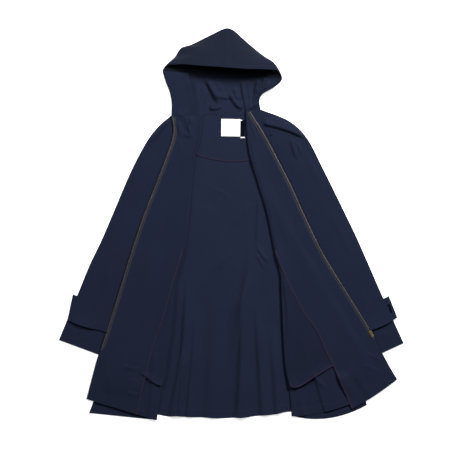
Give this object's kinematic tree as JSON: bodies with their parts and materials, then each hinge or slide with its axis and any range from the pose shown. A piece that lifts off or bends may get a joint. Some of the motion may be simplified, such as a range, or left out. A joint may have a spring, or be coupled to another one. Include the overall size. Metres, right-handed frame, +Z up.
{
  "type": "hooded raincoat",
  "caption": "Swing-shaped hooded raincoat laid flat with both fronts folded open, showing bound facings, pocket bags, metal zip, neck facing with blank label, cuff straps and puffed hood.",
  "frame": {"origin": "bottom centre of the bounding box of the coat as it lies flat", "axes": "+Z up from the surface it lies on, +Y toward the hood's peak, +X toward the wearer's left"},
  "size_m": [0.9831, 1.1167, 0.0666],
  "materials": {
    "shell": "matte woven cotton blend",
    "shell_inside": "matte woven cotton blend, wrong side",
    "binding": "bias binding",
    "zip_tape": "woven tape",
    "label": "woven label, blank",
    "brass": "antique brass",
    "steel": "polished"
  },
  "bodies": {
    "root": {"back": "shell_inside", "back_neck_facing": "shell_inside", "binding_neck_facing": "binding", "front_left": "shell_inside", "front_right": "shell_inside", "sleeve_left": "shell", "sleeve_right": "shell", "facing_left": "shell_inside", "facing_right": "shell_inside", "binding_left": "binding", "binding_right": "binding", "zip_tape_left": "zip_tape", "zip_tape_right": "zip_tape", "zip_chain_left": "brass", "zip_chain_right": "brass", "zip_pin": "brass", "zip_slider": "brass", "zip_box": "brass", "pocket_bag_left": "shell_inside", "pocket_bag_right": "shell_inside", "hood_left": "shell", "hood_right": "shell", "hood_centre": "shell", "hood_facing_left": "shell_inside", "hood_facing_right": "shell_inside", "cuff_strap_left": "shell", "cuff_strap_right": "shell", "neck_label": "label", "size_tab": "zip_tape", "press_stud": "steel"}
  },
  "joints": []
}
